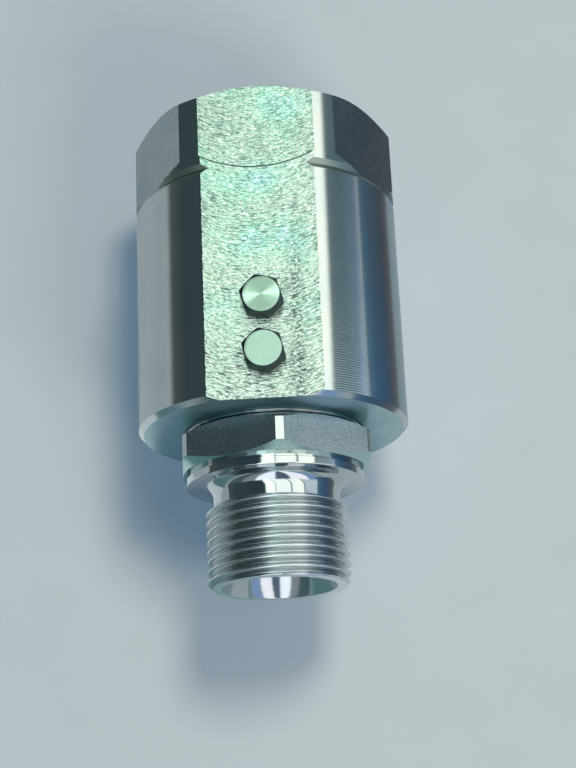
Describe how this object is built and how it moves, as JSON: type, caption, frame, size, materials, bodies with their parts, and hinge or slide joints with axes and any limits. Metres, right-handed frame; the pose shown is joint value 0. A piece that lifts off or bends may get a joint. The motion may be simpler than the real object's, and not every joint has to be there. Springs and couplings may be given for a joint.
{
  "type": "hydraulic swivel fitting",
  "caption": "Hydraulic swivel fitting: a round barrel with a hexagon end turns on the ball-bearing stem, which has spanner flats, a collar and a threaded stud.",
  "frame": {"origin": "middle of the footprint on the rear flat, which the fitting lies on", "axes": "+Y along the swivel axis from the stud towards the hexagon end, +Z out of the front flat with the ball plugs, +X to the right in the picture"},
  "size_m": [0.0508, 0.0908, 0.0491],
  "materials": {
    "zinc_plated_steel": "bright zinc plate over turned and milled steel",
    "plug_steel": "zinc plated, turned face",
    "ball_steel": "ground and polished",
    "black_rubber": "matt",
    "wiper_rubber": "satin",
    "white_ptfe": "waxy",
    "guide_plastic": "turned"
  },
  "bodies": {
    "housing_group": {"housing": "zinc_plated_steel", "upper_ball_plug": "plug_steel", "lower_ball_plug": "plug_steel", "dust_wiper": "wiper_rubber", "grease_seal": "black_rubber", "guide_ring": "guide_plastic", "pressure_seal_ring": "white_ptfe", "pressure_seal_energiser": "black_rubber"},
    "stem_group": {"stem": "zinc_plated_steel"},
    "upper_balls": {"upper_ball_row": "ball_steel"},
    "lower_balls": {"lower_ball_row": "ball_steel"}
  },
  "joints": [
    {"name": "stem_swivel", "type": "hinge", "parent": "housing_group", "child": "stem_group", "pos_m": [0, 0, 0.02315], "axis": [0, 1, 0], "continuous": true},
    {"name": "upper_row_orbit", "type": "hinge", "parent": "housing_group", "child": "upper_balls", "pos_m": [0, 0, 0.02315], "axis": [0, 1, 0], "continuous": true},
    {"name": "lower_row_orbit", "type": "hinge", "parent": "housing_group", "child": "lower_balls", "pos_m": [0, 0, 0.02315], "axis": [0, 1, 0], "continuous": true}
  ],
  "couplings": [
    {"joint": "upper_row_orbit", "follows": "stem_swivel", "ratio": 0.4471},
    {"joint": "lower_row_orbit", "follows": "stem_swivel", "ratio": 0.4471}
  ]
}
